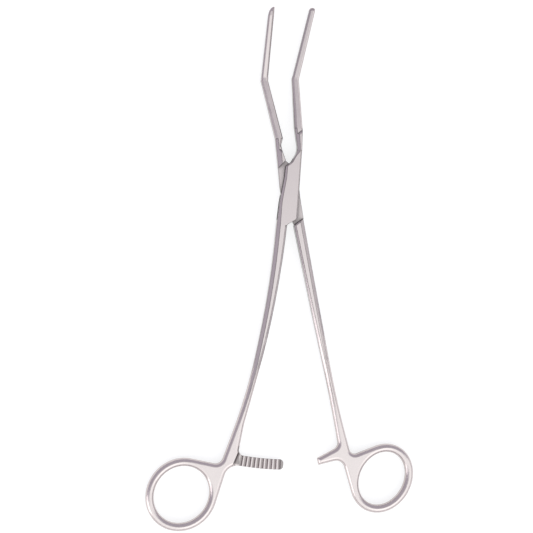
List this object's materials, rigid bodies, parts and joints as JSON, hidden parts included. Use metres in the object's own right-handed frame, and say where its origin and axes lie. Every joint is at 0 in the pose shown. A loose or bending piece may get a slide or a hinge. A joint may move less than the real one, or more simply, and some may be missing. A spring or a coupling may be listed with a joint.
{
  "type": "bronchus clamp",
  "caption": "Long box-lock clamp with angled, cross-serrated jaws, slender shanks, a ratchet and finger rings, shown half open.",
  "frame": {"origin": "pivot axis of the box lock, at the box's back face, on which the clamp lies", "axes": "+X to the viewer's right, +Y from the pivot towards the jaws, +Z out of the box's front face"},
  "size_m": [0.1214, 0.2359, 0.006],
  "materials": {
    "box_half": "satin-ground stainless steel",
    "tongue_half": "satin-ground stainless steel",
    "lock_pin": "ground flush and satin-finished with the cheeks"
  },
  "bodies": {
    "box_side": {"box_half": "box_half", "lock_pin": "lock_pin"},
    "tongue_side": {"tongue_half": "tongue_half"}
  },
  "joints": [
    {"name": "box_lock_pivot", "type": "hinge", "parent": "box_side", "child": "tongue_side", "pos_m": [0, 0, 0.003], "axis": [0, 0, 1], "range_deg": [-10.7, 30]}
  ]
}
